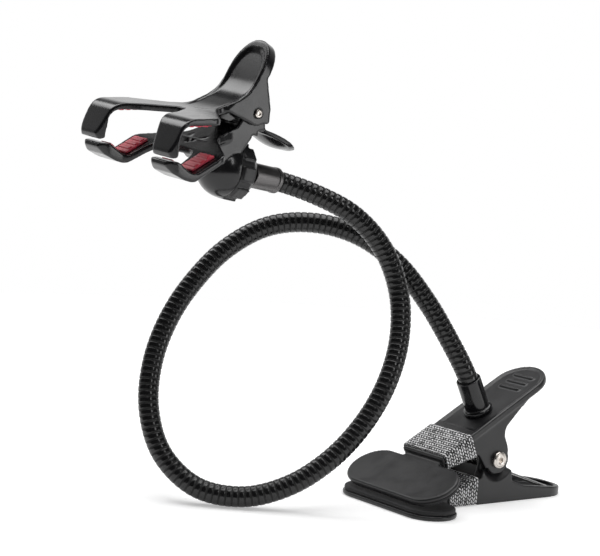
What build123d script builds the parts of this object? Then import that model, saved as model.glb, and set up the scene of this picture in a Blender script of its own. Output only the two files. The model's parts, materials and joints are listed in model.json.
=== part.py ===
from build123d import *
import math
import os

# Phone holder on a gooseneck: a spring clip for a table edge, a ribbed neck
# bent into one loop, and a sprung two-finger clamp on a ball joint.
# Millimetres. X runs from the clip's jaws (-X) to its tail (+X), Y along the
# clip's pivot, Z up. The origin is on the table under the clip's pivot.

os.makedirs("parts", exist_ok=True)

# Fits
RUNNING_GAP = 0.05
LOOSE_GAP = 0.3
SEAT_GAP = 0.05

# Clip
PIVOT_Z = 24.0
BOLT_R = 2.5
CLIP_HALF_WIDTH = 16.0
WALL = 3.0
INNER_EAR_IN = 9.4
INNER_EAR_OUT = 12.3
OUTER_EAR_IN = INNER_EAR_OUT + LOOSE_GAP
OUTER_EAR_OUT = 15.4
OUTER_EAR_R = 8.0
INNER_EAR_R = 9.5
PLATE_SLOPE = 28.5
PLATE_TOP = 50.2
PLATE_FRONT = -47.8
PLATE_REAR = 43.8
PLATE_THICK = 4.0
PLATE_LIP = 2.2
LIP_HEIGHT = 0.7
RIDGE_SPACING = 5.9
JAW_LENGTH = 77.0
JAW_DEPTH = 30.0
JAW_PLATE_THICK = 2.6
JAW_PAD_THICK = 2.0
JAW_PAD_INSET = 0.8
UPPER_JAW_S = -64.5
UPPER_JAW_TOP = -3.2
LOWER_JAW_X = -55.5
LOWER_PAD_THICK = 2.6
LOWER_NECK_X = -40.4
TAIL_CENTRE = 42.5
BAND_THICK = 1.2

# Neck
NECK_R = 5.45
NECK_GROOVE_R = 4.75
RIB_PITCH = 7.0
LOOP_YAW = -38.4
LOOP_LONG_R = 76.8
LOOP_SHORT_R = 57.2
LOOP_TILT = 55.0
LOOP_ACROSS = -114.6
LOOP_UP = 76.5
LOOP_AWAY = -42.0
LOOP_LEAN = 0.4
FERRULE_S = -3.6
BASE_FERRULE_R = 6.75
BASE_FERRULE_LENGTH = 20.0
BASE_FERRULE_FLOOR = 6.0
HEAD_FERRULE_R = 6.6
FERRULE_BORE_R = NECK_R + RUNNING_GAP

# Head, in its own frame: origin at the jaw pin, x forward, y to the near side
HEAD_PIN = (-143.6, 46.5, 202.2)
HEAD_PITCH = -8.7
HEAD_ROLL = -4.0
PIN_R = 2.0
JAW_EAR_OUT = 14.2
JAW_EAR_THICK = 2.5
LOWER_EAR_OUT = JAW_EAR_OUT - JAW_EAR_THICK - LOOSE_GAP
FINGER_TIP = 71.6
UPPER_FORK_HALF = 42.0
UPPER_SHOULDER = 43.0
LOWER_FORK_HALF = 39.5
LOWER_SHOULDER = 38.5
WAIST = 13.0
PADDLE_CROWN = 17.0
SPOON_SLOPE = 28.7
SPOON_LIFT = 20.3
SPOON_WALL = 2.2
SPOON_BEAD = 2.4
SPOON_GIRTH = [(1, 20.6), (10, 20.5), (20, 22.3), (28, 22.9), (34, 21.8), (38.4, 20.2)]
BALL_AT = (8.0, 0.0, -30.2)
BALL_R = 9.0
BALL_FLAT = 7.0
SOCKET_SLOPE = 17.4
SOCKET_R = 15.0
SPIGOT_R = 12.05
NUT_R = 14.5
NUT_LUG_R = 15.2
NUT_LUGS = 8
STEM_R = 3.4
HEAD_FERRULE_START = 13.7
HEAD_FERRULE_LENGTH = 17.3
NECK_END = 18.3

sin_slope = math.sin(math.radians(PLATE_SLOPE))
cos_slope = math.cos(math.radians(PLATE_SLOPE))
PLATE = Plane(
    origin=(0, 0, PLATE_TOP),
    x_dir=(cos_slope, 0, sin_slope),
    z_dir=(-sin_slope, 0, cos_slope),
)
PIVOT = Plane(origin=(0, 0, PIVOT_Z), x_dir=(1, 0, 0), z_dir=(0, 1, 0))
sin_spoon = math.sin(math.radians(SPOON_SLOPE))
cos_spoon = math.cos(math.radians(SPOON_SLOPE))
SPOON = Plane(origin=(5, 0, -5.6), x_dir=(-cos_spoon, 0, -sin_spoon), z_dir=(-sin_spoon, 0, cos_spoon))
HEAD = Pos(*HEAD_PIN) * Rot(0, HEAD_PITCH, 0) * Rot(0, 0, 180) * Rot(HEAD_ROLL, 0, 0)


def on_plate(s, n):
    """Point (x, z) at s along the thumb plate and n above its top face."""
    return (s * cos_slope - n * sin_slope, PLATE_TOP + s * sin_slope + n * cos_slope)


def outline(points, radius):
    """Closed face with rounded corners."""
    return make_face(FilletPolyline(*points, radius=radius, close=True))


def side_prism(face, y_low, y_high):
    """Extrude a face drawn in X-Z from y_low to y_high."""
    return extrude(Plane.XZ.offset(-y_high) * face, amount=y_high - y_low)


def both_sides(face, y_in, y_out):
    """The same wall on both sides of the middle plane."""
    return side_prism(face, y_in, y_out) + side_prism(face, -y_out, -y_in)


def plan_prism(face, z_low, z_high):
    """Extrude a face drawn in X-Y from z_low to z_high."""
    return extrude(Pos(0, 0, z_low) * face, amount=z_high - z_low)


def pivot_cylinder(radius, y_low, y_high):
    """Cylinder along the clip's pivot axis."""
    return extrude(PIVOT.offset(y_low) * Circle(radius), amount=y_high - y_low)


def stadium(depth, length):
    """Oval jaw outline, long in Y."""
    return Rot(0, 0, 90) * SlotOverall(length, depth)


def round_ended(front, rear, half_width):
    """Strip with a square front and a round rear end."""
    straight = rear - half_width - front
    strip = Pos(front + straight / 2, 0) * Rectangle(straight, 2 * half_width)
    return strip + Pos(rear - half_width, 0) * Circle(half_width)


def coil_spring(axis_plane, coil_r, wire_r, y_low, y_high, turns, start_angle, ends):
    """Torsion spring: a coil about the plane's normal and a straight leg to each end point."""
    steps = 10
    count = int(turns * steps)
    route = [Vector(*ends[0])]
    for i in range(count + 1):
        angle = math.radians(start_angle) + 2 * math.pi * i / steps
        depth = y_low + (y_high - y_low) * i / count
        local = (coil_r * math.cos(angle), coil_r * math.sin(angle), depth)
        route.append(axis_plane.from_local_coords(local))
    route.append(Vector(*ends[1]))
    section = Plane(origin=route[0], z_dir=route[1] - route[0]) * RegularPolygon(wire_r, 8)
    return sweep(section, path=Polyline(*route), transition=Transition.RIGHT)


def square_to(direction, hint):
    """Unit vector square to a direction, nearest to a hint."""
    along = Vector(*direction).normalized()
    wanted = Vector(*hint)
    return (wanted - along * wanted.dot(along)).normalized()


# Lower lever of the clip

def lower_lever():
    neck_floor = BAND_THICK + 0.2
    foot_front = -13.5
    neck_front = LOWER_NECK_X + 0.1
    side = outline(
        [
            (neck_front, neck_floor), (foot_front, neck_floor), (foot_front, 0), (58.5, 0), (58.5, 4.2),
            (22, 8), (12, 11.4), (-14.5, 14.6), (-36, 6.5), (neck_front, 3.2),
        ],
        [0, 0, 0.5, 0.5, 1.5, 6, 2, 2, 3, 0],
    )
    body = side_prism(side, -CLIP_HALF_WIDTH, CLIP_HALF_WIDTH)
    body &= plan_prism(round_ended(-41, TAIL_CENTRE + CLIP_HALF_WIDTH, CLIP_HALF_WIDTH), -1, 40)
    inner = CLIP_HALF_WIDTH - WALL
    boss_end = 13.0
    channel = round_ended(boss_end, TAIL_CENTRE + inner, inner)
    channel += Pos((boss_end - 12) / 2 + 0.5, 0) * Rectangle(boss_end + 13, 2 * INNER_EAR_IN)
    body -= plan_prism(channel, 2.0, 40)
    hollow = outline([(-33, 3.6), (-11, 3.6), (-11, 11), (-33, 5.2)], [0.5, 0, 0, 0.5])
    body -= side_prism(hollow, -inner, inner)
    ear = outline([(-13, 6), (12, 6), (INNER_EAR_R, PIVOT_Z), (-INNER_EAR_R, PIVOT_Z)], [0, 0, 0, 0])
    ear += Pos(0, PIVOT_Z) * Circle(INNER_EAR_R)
    body += both_sides(ear, INNER_EAR_IN, INNER_EAR_OUT)
    boss = outline([(-13.5, 2), (13, 2), (11, 19), (-11, 19)], [0, 0, 4, 4])
    body += both_sides(boss, INNER_EAR_IN, CLIP_HALF_WIDTH)
    for side_sign in (1, -1):
        recess_plane = Plane(PIVOT.origin, x_dir=(1, 0, 0), z_dir=(0, side_sign, 0))
        cone = Solid.make_cone(
            OUTER_EAR_R + LOOSE_GAP,
            OUTER_EAR_R + 4.2,
            CLIP_HALF_WIDTH - INNER_EAR_OUT + 0.1,
            recess_plane.offset(INNER_EAR_OUT),
        )
        body -= cone
    body -= pivot_cylinder(BOLT_R + 0.01, -20, 20)
    jaw = plan_prism(Pos(LOWER_JAW_X, 0) * stadium(JAW_DEPTH, JAW_LENGTH), 0, JAW_PLATE_THICK)
    jaw = chamfer(jaw.edges().group_by(Axis.Z)[0], 0.7)
    tongue = outline([(-52, 0.4), (-36, 0.4), (-36, 6), (neck_front, 3.2), (neck_front, 2.6), (-52, 2.6)], 0)
    body += jaw + side_prism(tongue, -14, 14)
    return body


def lower_pad():
    face = stadium(JAW_DEPTH - 2 * JAW_PAD_INSET, JAW_LENGTH - 2 * JAW_PAD_INSET)
    pad = plan_prism(Pos(LOWER_JAW_X, 0) * face, JAW_PLATE_THICK, JAW_PLATE_THICK + LOWER_PAD_THICK)
    pad = chamfer(pad.edges().group_by(Axis.Z)[-1], 0.7)
    rise = outline([(LOWER_NECK_X, -1), (-30, -1), (-30, 12), (LOWER_NECK_X, 12)], 0)
    notch_half = CLIP_HALF_WIDTH + LOOSE_GAP
    return pad - side_prism(rise, -notch_half, notch_half)


# Upper lever of the clip

def flange_line(s):
    """Depth of the side flange below the plate's top, deeper towards the pivot."""
    return -6.0 - 5.5 * (s + 48) / 21


def upper_lever():
    plate = extrude(PLATE * round_ended(PLATE_FRONT, PLATE_REAR, CLIP_HALF_WIDTH), amount=-PLATE_THICK)
    rim = plate.edges().filter_by(lambda e: e.length > 20)
    plate = chamfer(rim, 0.7)
    dish = round_ended(PLATE_FRONT + 28, PLATE_REAR - PLATE_LIP, CLIP_HALF_WIDTH - PLATE_LIP)
    plate -= extrude(PLATE * dish, amount=-LIP_HEIGHT)
    ridge = Rot(0, 0, 90) * SlotOverall(15, 2.0)
    for i in range(3):
        spot = PLATE * Pos(21.5 + i * RIDGE_SPACING, 0, -LIP_HEIGHT)
        plate += extrude(spot * ridge, amount=LIP_HEIGHT + 0.4)
    web = outline(
        [
            on_plate(PLATE_FRONT, -1), on_plate(PLATE_FRONT, flange_line(PLATE_FRONT)),
            on_plate(-23.5, flange_line(-23.5)), (-8.2, 19.5), (0, PIVOT_Z - 1), (8.4, 27.5), (2.6, 40),
            on_plate(22, -PLATE_THICK + 0.5), on_plate(22, -1),
        ],
        [0, 1, 4, 0, 0, 3, 7, 0, 0],
    )
    ear = web + Pos(0, PIVOT_Z) * Circle(OUTER_EAR_R)
    body = plate + both_sides(ear, OUTER_EAR_IN, OUTER_EAR_OUT)
    body -= pivot_cylinder(BOLT_R + RUNNING_GAP, -20, 20)
    oval = Pos(UPPER_JAW_S, 0, UPPER_JAW_TOP) * stadium(JAW_DEPTH, JAW_LENGTH)
    jaw = extrude(PLATE * oval, amount=-JAW_PLATE_THICK)
    jaw = chamfer(jaw.edges().group_by(SortBy.LENGTH)[-1], 0.7)
    tongue = Pos(-49.5, 0, UPPER_JAW_TOP) * Rectangle(22, 28)
    body += jaw + extrude(PLATE * tongue, amount=-JAW_PLATE_THICK)
    body -= extrude(PLATE * Pos(FERRULE_S, 0, 1) * Circle(2.1), amount=-8)
    return body


def upper_pad():
    face = stadium(JAW_DEPTH - 2 * JAW_PAD_INSET, JAW_LENGTH - 2 * JAW_PAD_INSET)
    top = UPPER_JAW_TOP - JAW_PLATE_THICK
    pad = extrude(PLATE * Pos(UPPER_JAW_S, 0, top) * face, amount=-JAW_PAD_THICK)
    return pad


def band(points, half_width, gap):
    """Elastic band round a lever: a sleeve with the lever's own section inside."""
    front_low, rear_low, rear_high, front_high = points
    outer = outline(
        [
            (front_low[0], front_low[1] - BAND_THICK), (rear_low[0], rear_low[1] - BAND_THICK),
            (rear_high[0], rear_high[1] + BAND_THICK), (front_high[0], front_high[1] + BAND_THICK),
        ],
        0,
    )
    sleeve = side_prism(outer, -half_width - BAND_THICK, half_width + BAND_THICK)
    inside = outline(
        [
            (front_low[0] - 4, front_low[1] - gap - slope_between(front_low, rear_low) * 4),
            (rear_low[0] + 4, rear_low[1] - gap + slope_between(front_low, rear_low) * 4),
            (rear_high[0] + 4, rear_high[1] + gap + slope_between(front_high, rear_high) * 4),
            (front_high[0] - 4, front_high[1] + gap - slope_between(front_high, rear_high) * 4),
        ],
        0,
    )
    long_edges = sleeve.edges().filter_by(lambda e: abs((e % 0.5).Y) < 0.1 and abs((e % 0.5).X) > 0.5)
    sleeve = fillet(long_edges, BAND_THICK)
    return sleeve - side_prism(inside, -half_width - gap, half_width + gap)


def slope_between(first, second):
    return (second[1] - first[1]) / (second[0] - first[0])


def upper_band():
    front, rear = -46.4, -25.6
    corners = [on_plate(front, flange_line(front)), on_plate(rear, flange_line(rear))]
    corners += [on_plate(rear, 0), on_plate(front, 0)]
    return band(corners, CLIP_HALF_WIDTH, SEAT_GAP)


def lower_band():
    floor = BAND_THICK + 0.2
    top_slope = (14.6 - 6.5) / (36 - 14.5)
    front, rear = -34.5, -14.6
    front_top = 6.5 + (front + 36) * top_slope
    rear_top = 6.5 + (rear + 36) * top_slope
    corners = [(front, floor), (rear, floor), (rear, rear_top), (front, front_top)]
    return band(corners, CLIP_HALF_WIDTH, SEAT_GAP)


def pivot_bolt():
    seat = OUTER_EAR_OUT + 0.1
    end = 20.2
    bolt = pivot_cylinder(BOLT_R, -seat, end)
    head = pivot_cylinder(4.7, -seat - 2.5, -seat)
    head = chamfer(head.edges().group_by(Axis.Y)[0], 1.0)
    socket = extrude(PIVOT.offset(-seat - 2.6) * RegularPolygon(1.75, 6), amount=1.7)
    return bolt + head - socket


def pivot_nut():
    seat = OUTER_EAR_OUT + 0.1
    nut = extrude(PIVOT.offset(seat) * RegularPolygon(4.6, 6), amount=4.0)
    nut = chamfer(nut.edges().group_by(Axis.Y)[-1], 0.5)
    return nut - pivot_cylinder(BOLT_R + 0.01, 10, 30)


def clip_spring():
    leg_y = 7.2
    lift = on_plate(20, -PLATE_THICK - 1.5)
    ends = [(47.5, -leg_y, 3.4), (lift[0], leg_y, lift[1])]
    return coil_spring(PIVOT, 5.6, 1.1, -leg_y, leg_y, 3.5, 70, ends)


# Neck

def loop_point(across, away, up):
    """Point in the frame of the loop, which is turned about Z from the clip."""
    yaw = math.radians(LOOP_YAW)
    x = across * math.cos(yaw) - away * math.sin(yaw)
    y = across * math.sin(yaw) + away * math.cos(yaw)
    return Vector(x, y, up)


def plate_point(s, n):
    x, z = on_plate(s, n)
    return Vector(x, 0, z)


def socket_plane():
    """Plane at the ball, its normal along the stem, in the head's own frame."""
    slope = math.radians(SOCKET_SLOPE)
    return Plane(origin=BALL_AT, x_dir=(0, 1, 0), z_dir=(-math.cos(slope), 0, -math.sin(slope)))


def stem_point(distance):
    """Point on the stem's line, at a distance from the ball, in the clip's frame."""
    local = socket_plane().from_local_coords((0, 0, distance))
    return (HEAD * Pos(*local)).position


def neck_route():
    """Centre line from inside the base ferrule, round the loop, into the head ferrule."""
    start = plate_point(FERRULE_S, BASE_FERRULE_FLOOR + 0.2)
    leave = plate_point(FERRULE_S, BASE_FERRULE_LENGTH + 2)
    rise = [loop_point(-22.3, -9.3, 86.9), loop_point(-41.3, -10, 113.2)]
    rise += [loop_point(-67, -11, 135.4), loop_point(-93, -12.5, 143.9)]
    loop = []
    tilt = math.radians(LOOP_TILT)
    for degrees in range(55, 336, 28):
        along = LOOP_LONG_R * math.cos(math.radians(degrees))
        aside = LOOP_SHORT_R * math.sin(math.radians(degrees))
        across = LOOP_ACROSS + along * math.cos(tilt) - aside * math.sin(tilt)
        up = LOOP_UP + along * math.sin(tilt) + aside * math.cos(tilt)
        loop.append(loop_point(across, LOOP_AWAY + LOOP_LEAN * (up - LOOP_UP), up))
    return_run = [loop_point(-65.5, -28, 138.8), loop_point(-81, -31, 152.3), loop_point(-101, -33.5, 161.6)]
    enter = stem_point(HEAD_FERRULE_START + HEAD_FERRULE_LENGTH + 5)
    end = stem_point(NECK_END)
    bend = Spline(
        *([leave] + rise + loop + return_run + [enter]),
        tangents=[(leave - start).normalized(), (end - enter).normalized()],
    )
    return Wire([Edge.make_line(start, leave), bend, Edge.make_line(enter, end)])


def neck_section(route, distance, radius):
    point = route.position_at(distance, position_mode=PositionMode.LENGTH)
    along = route.tangent_at(distance, position_mode=PositionMode.LENGTH)
    yaw = math.radians(LOOP_YAW)
    across_loop = square_to(along, (-math.sin(yaw), math.cos(yaw), 0))
    return Wire.make_circle(radius, Plane(origin=point, x_dir=across_loop, z_dir=along))


def gooseneck():
    route = neck_route()
    length = route.length
    plain = 14.0
    count = round((length - 2 * plain) / RIB_PITCH)
    pitch = (length - 2 * plain) / count
    rings = [neck_section(route, 0, NECK_R)]
    for i in range(count):
        rings.append(neck_section(route, plain + i * pitch, NECK_GROOVE_R))
        rings.append(neck_section(route, plain + (i + 0.5) * pitch, NECK_R))
    rings.append(neck_section(route, length - plain, NECK_GROOVE_R))
    rings.append(neck_section(route, length, NECK_R))
    return Solid.make_loft(rings, ruled=True)


def base_ferrule():
    foot = PLATE * Pos(FERRULE_S, 0, -LIP_HEIGHT)
    tube = extrude(foot * Circle(BASE_FERRULE_R), amount=BASE_FERRULE_LENGTH + LIP_HEIGHT)
    ring = extrude(foot * Circle(BASE_FERRULE_R + 1.3), amount=2.6)
    ring = chamfer(ring.edges().group_by(SortBy.LENGTH)[-1], 0.7)
    body = tube + ring
    bore = PLATE * Pos(FERRULE_S, 0, BASE_FERRULE_FLOOR)
    body -= extrude(bore * Circle(FERRULE_BORE_R), amount=40)
    return body - extrude(foot * Circle(2.01), amount=5)


def ferrule_screw():
    under = PLATE * Pos(FERRULE_S, 0, -PLATE_THICK)
    head = extrude(under * Circle(3.6), amount=-2.2)
    cross = under * Pos(0, 0, -2.2) * (Rectangle(4, 0.9) + Rectangle(0.9, 4))
    shaft = extrude(under * Circle(2.0), amount=PLATE_THICK + 4)
    return head + shaft - extrude(cross, amount=1.2)


def head_ferrule():
    place = socket_plane().offset(HEAD_FERRULE_START)
    tube = extrude(place * Circle(HEAD_FERRULE_R), amount=HEAD_FERRULE_LENGTH)
    ring_at = HEAD_FERRULE_LENGTH - 2.2
    tube += extrude(place.offset(ring_at) * Circle(HEAD_FERRULE_R + 0.25), amount=2.2)
    tube -= extrude(place.offset(3.0) * Circle(FERRULE_BORE_R), amount=40)
    return tube - extrude(place * Circle(STEM_R + 0.01), amount=5)


# Ball joint

def ball_stud():
    place = socket_plane()
    stud = Pos(*BALL_AT) * Sphere(BALL_R)
    stud &= extrude(place.offset(-BALL_FLAT) * Circle(BALL_R + 1), amount=2 * BALL_FLAT)
    stud += extrude(place.offset(BALL_FLAT - 1) * Circle(STEM_R), amount=18 - BALL_FLAT)
    return stud + extrude(place.offset(HEAD_FERRULE_START + 3.05) * Circle(5.1), amount=1.4)


def lock_nut():
    place = socket_plane()
    section = outline([(0, -2.7), (NUT_R, -2.7), (NUT_R, 5.0), (11.4, 9.0), (0, 9.0)], 0)
    nut = revolve(place * (Rot(90, 0, 0) * section), axis=Axis(place.origin, place.z_dir))
    lug_face = Pos((NUT_R + NUT_LUG_R) / 2 - 1, 0) * Rectangle(NUT_LUG_R - NUT_R + 2, 7.4)
    for i in range(NUT_LUGS):
        lug = place.offset(-1.6) * Rot(0, 0, i * 360 / NUT_LUGS) * lug_face
        nut += extrude(lug, amount=7.4)
    nut -= extrude(place.offset(-3) * Circle(SPIGOT_R + RUNNING_GAP), amount=6.8)
    seat_sum = (BALL_R + LOOSE_GAP) * math.sqrt(2)
    throat = 5.15
    nut -= Solid.make_cone(seat_sum - 3.7, seat_sum - throat, throat - 3.7, place.offset(3.7))
    nut -= Solid.make_cone(seat_sum - throat, 10.4, 9.1 - throat, place.offset(throat))
    return nut


# Phone clamp

def fork_plan(rear, half_width, fork_half, shoulder, gap, tip_round):
    """Outline from above: a thumb paddle, a waist and a broad fork with two fingers."""
    end = FINGER_TIP + 0.6
    half = [(rear, half_width), (14, half_width), (25, WAIST), (shoulder, fork_half), (end, fork_half)]
    rounds = [0, 12, 7, 5, 0]
    body = outline(half + [(x, -y) for x, y in reversed(half)], rounds + rounds[::-1])
    plan = body - gap
    return fillet(plan.vertices().filter_by(lambda v: v.X > end - 1), tip_round)


def crowned(form, root, tip, half_width, depth):
    """Round the end of a paddle, seen square to the line from its root to its tip."""
    length = math.hypot(tip[0] - root[0], tip[1] - root[1])
    along = ((tip[0] - root[0]) / length, 0, (tip[1] - root[1]) / length)
    face = Plane(origin=(root[0], 0, root[1]), x_dir=along, z_dir=(-along[2], 0, along[0]))
    straight = length - PADDLE_CROWN
    rounded = Pos(straight, 0) * Ellipse(PADDLE_CROWN, half_width)
    rounded += Pos(straight / 2 - 20, 0) * Rectangle(straight + 40, 2 * half_width + 1)
    fingers = Pos(root[0] + 60, 0, 0) * Box(120, 120, 120)
    return form & (extrude(face * rounded, amount=depth, both=True) + fingers)


def upper_jaw_form():
    tip = (-12.4, 35.0)
    root = (5.6, 9.3)
    side = outline(
        [
            tip, root, (26, 4.2), (62.5, 7.4), (71.6, -7.5), (70.8, -11.0), (67.6, -10.6), (64.4, 4.2),
            (26, 0.6), (1.8, 5.4), (-17.6, 31.6),
        ],
        [1.2, 22, 40, 9, 2, 1.4, 1.4, 6, 40, 18, 1.2],
    )
    form = side_prism(side, -45, 45)
    gap = outline(
        [(37, -3.4), (50, -14.5), (76, -27), (76, 27), (50, 14.5), (37, 3.4)], [3, 14, 0, 0, 14, 3]
    )
    plan = fork_plan(-28, JAW_EAR_OUT, UPPER_FORK_HALF, UPPER_SHOULDER, gap, 5)
    form &= plan_prism(plan, -20, 40)
    return crowned(form, root, tip, JAW_EAR_OUT, 12)


def upper_jaw():
    form = upper_jaw_form()
    dish_plan = outline([(-9.5, -11.8), (12, -11.8), (30, -9), (30, 9), (12, 11.8), (-9.5, 11.8)],
                        [9, 12, 6, 6, 12, 9])
    dish = (form - Pos(-1.3, 0, -0.15) * form) & plan_prism(dish_plan, 3, 40)
    body = form - dish
    ear = outline([(20, 3.6), (-6.5, 17), (-8.2, 2), (-7.2, -6.4), (4, -5.1)], [0, 0, 3, 1.5, 0]) + Circle(6.5)
    body += both_sides(ear, JAW_EAR_OUT - JAW_EAR_THICK, JAW_EAR_OUT)
    body -= extrude(Plane.XZ.offset(-20) * Circle(PIN_R + RUNNING_GAP), amount=40)
    return body


def lower_jaw_form():
    side = outline(
        [
            (-2, -9.2), (7, -5.2), (40, -13.8), (57, -20.8), (65.5, -13.0), (71, -12.3), (71.6, -14.6),
            (68.8, -18.5), (62.5, -22.4), (57, -24.6), (40, -17.2), (5, -10.4), (-2, -12.4),
        ],
        [0, 12, 14, 5, 5, 1, 1, 3, 8, 6, 14, 12, 0],
    )
    form = side_prism(side, -45, 45)
    gap = outline([(40, -17), (58, -21), (76, -21), (76, 21), (58, 21), (40, 17)], [9, 12, 0, 0, 12, 9])
    plan = fork_plan(-6, LOWER_EAR_OUT, LOWER_FORK_HALF, LOWER_SHOULDER, gap, 6)
    return form & plan_prism(plan, -40, 10)


def spoon_turning(swell):
    """Solid of revolution along the lower paddle; the part below its rim is the bowl."""
    girth = [
        SPOON.from_local_coords((along, 0, SPOON_LIFT - radius - swell)) for along, radius in SPOON_GIRTH
    ]
    low = SPOON.from_local_coords((SPOON_GIRTH[0][0], 0, SPOON_LIFT))
    high = SPOON.from_local_coords((SPOON_GIRTH[-1][0], 0, SPOON_LIFT))
    edge = Spline(*girth)
    face = make_face([edge, Line(girth[-1], high), Line(high, low), Line(low, girth[0])])
    return revolve(face, axis=Axis(low, high - low))


def spoon():
    """Thumb paddle of the lower jaw: a thin bowl with a beaded rim."""
    rim = Spline((6, -5.3), (-4.7, -8.5), (-15, -13.6), (-24.4, -20.0), (-33, -27.4))
    sides = Polyline((-33, -27.4), (-33, -60), (6, -60), (6, -5.3))
    below_rim = side_prism(make_face([rim, sides]), -20, 20)
    below_bead = Pos(0, 0, -SPOON_BEAD) * below_rim
    bowl = spoon_turning(0) & below_rim
    bowl += spoon_turning(0.5) & (below_rim - below_bead)
    return bowl - spoon_turning(-SPOON_WALL)


def lower_jaw():
    form = lower_jaw_form()
    chevron = outline([(25, -7), (32, 0), (25, 7), (28, 7), (35, 0), (28, -7)], 0)
    body = form - ((form - Pos(0, 0, -0.8) * form) & plan_prism(chevron, -20, 0))
    block = outline([(0, -8), (31, -11.2), (32, -17), (26, -24), (10, -22), (2, -13)], [1, 1, 3, 4, 4, 2])
    body += side_prism(block, -LOWER_EAR_OUT, LOWER_EAR_OUT)
    ear = outline([(-6, 0), (6, 0), (14, -10), (-7, -10)], 0) + Circle(6.0)
    body += both_sides(ear, LOWER_EAR_OUT - 2.8, LOWER_EAR_OUT)
    body += spoon()
    place = socket_plane()
    cup_start = -3.0
    body -= extrude(place.offset(cup_start) * Circle(NUT_LUG_R + 0.5), amount=12.6)
    dome = Pos(*place.from_local_coords((0, 0, cup_start))) * Sphere(SOCKET_R)
    cup = dome & extrude(place.offset(-30) * Circle(SOCKET_R + 5), amount=30 + cup_start)
    cup += extrude(place.offset(cup_start) * Circle(SPIGOT_R), amount=6.6)
    body += cup
    bore_r = BALL_R + LOOSE_GAP
    seat_depth = bore_r * (math.sqrt(2) - 1)
    body -= extrude(place.offset(-seat_depth) * Circle(bore_r), amount=seat_depth + 6)
    floor_depth = BALL_R + LOOSE_GAP
    floor_r = bore_r * math.sqrt(2) - floor_depth
    body -= Solid.make_cone(floor_r, bore_r, floor_depth - seat_depth, place.offset(-floor_depth))
    body -= extrude(Plane.XZ.offset(-20) * Circle(PIN_R + 0.01), amount=40)
    return body


def jaw_pin():
    half = JAW_EAR_OUT + 0.5
    pin = extrude(Plane.XZ.offset(-half) * Circle(PIN_R), amount=2 * half)
    for side_sign in (1, -1):
        seat = Plane((0, side_sign * (JAW_EAR_OUT + 0.1), 0), x_dir=(1, 0, 0), z_dir=(0, side_sign, 0))
        pin += extrude(seat * Circle(2.6), amount=0.9)
        pin -= extrude(seat.offset(0.3) * Circle(1.1), amount=2)
    return pin


def jaw_spring():
    plane = Plane(origin=(0, 0, 0), x_dir=(1, 0, 0), z_dir=(0, -1, 0))
    ends = [(-7.5, 5, 14.6), (-13.8, -5, -12.4)]
    return coil_spring(plane, 3.9, 0.75, -5, 5, 3.4, 100, ends)


def finger_window(x_low, x_high, y_low, y_high, side_sign, z_range):
    """Window over one finger, between two stations along it."""
    window = Rectangle(x_high - x_low, y_high - y_low)
    spot = Pos((x_low + x_high) / 2, side_sign * (y_low + y_high) / 2)
    return plan_prism(spot * window, *z_range)


def ribbed_pad(form, lift, x_span, y_span, side_sign, z_range, ribs):
    """Pad that follows a finger's face, with raised ribs across it."""
    pad = (Pos(0, 0, lift) * form - form) & finger_window(*x_span, *y_span, side_sign, z_range)
    rib_pitch = (x_span[1] - x_span[0]) / (ribs + 0.5)
    raised = Pos(0, 0, lift * 1.5) * form - form
    for i in range(ribs):
        start = x_span[0] + rib_pitch * (i + 0.4)
        rib = finger_window(start, start + rib_pitch * 0.6, y_span[0] + 1, y_span[1] - 1, side_sign, z_range)
        pad += raised & rib
    return pad


nodes = {
    "clip_lower_lever": lower_lever(),
    "clip_lower_pad": lower_pad(),
    "clip_upper_lever": upper_lever(),
    "clip_upper_pad": upper_pad(),
    "clip_pivot_bolt": pivot_bolt(),
    "clip_pivot_nut": pivot_nut(),
    "clip_spring": clip_spring(),
    "upper_jaw_band": upper_band(),
    "lower_jaw_band": lower_band(),
    "neck_base_ferrule": base_ferrule(),
    "ferrule_screw": ferrule_screw(),
    "gooseneck": gooseneck(),
}
head_nodes = {
    "neck_head_ferrule": head_ferrule(),
    "ball_stud": ball_stud(),
    "lock_nut": lock_nut(),
    "lower_jaw": lower_jaw(),
    "upper_jaw": upper_jaw(),
    "jaw_pin": jaw_pin(),
    "jaw_spring": jaw_spring(),
}
upper_form = upper_jaw_form()
lower_form = lower_jaw_form()
for label, sign in (("near", 1), ("far", -1)):
    head_nodes[f"lower_rear_pad_{label}"] = ribbed_pad(
        lower_form, 1.2, (42, 55), (23.5, 35), sign, (-25, -8), 3)
    head_nodes[f"lower_tip_pad_{label}"] = ribbed_pad(
        lower_form, 1.0, (60.5, 64.5), (23, 32), sign, (-25, -8), 1)
    head_nodes[f"upper_finger_pad_{label}"] = ribbed_pad(
        upper_form, -1.0, (44, 58), (26, 36), sign, (-6, 5), 3)
for name, shape in head_nodes.items():
    nodes[name] = HEAD * shape

for name, shape in nodes.items():
    export_step(shape, f"parts/{name}.step")
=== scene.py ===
import json
import math

import bmesh
import bpy
import numpy as np
from mathutils import Matrix, Vector


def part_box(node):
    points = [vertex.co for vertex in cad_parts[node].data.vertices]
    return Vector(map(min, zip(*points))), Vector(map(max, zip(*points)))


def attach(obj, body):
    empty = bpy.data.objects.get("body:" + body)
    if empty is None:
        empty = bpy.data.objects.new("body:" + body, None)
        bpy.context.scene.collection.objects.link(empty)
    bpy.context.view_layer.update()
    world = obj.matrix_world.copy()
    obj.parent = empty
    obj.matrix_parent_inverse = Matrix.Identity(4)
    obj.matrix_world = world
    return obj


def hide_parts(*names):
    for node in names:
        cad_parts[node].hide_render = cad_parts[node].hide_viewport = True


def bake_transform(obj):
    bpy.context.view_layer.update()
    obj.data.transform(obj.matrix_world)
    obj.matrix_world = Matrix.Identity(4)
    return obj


# Looks for a phone holder on a gooseneck: satin black clip and clamp, a ribbed
# coated neck, woven elastic bands and red rubber pads. Metres, +Z up.

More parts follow.
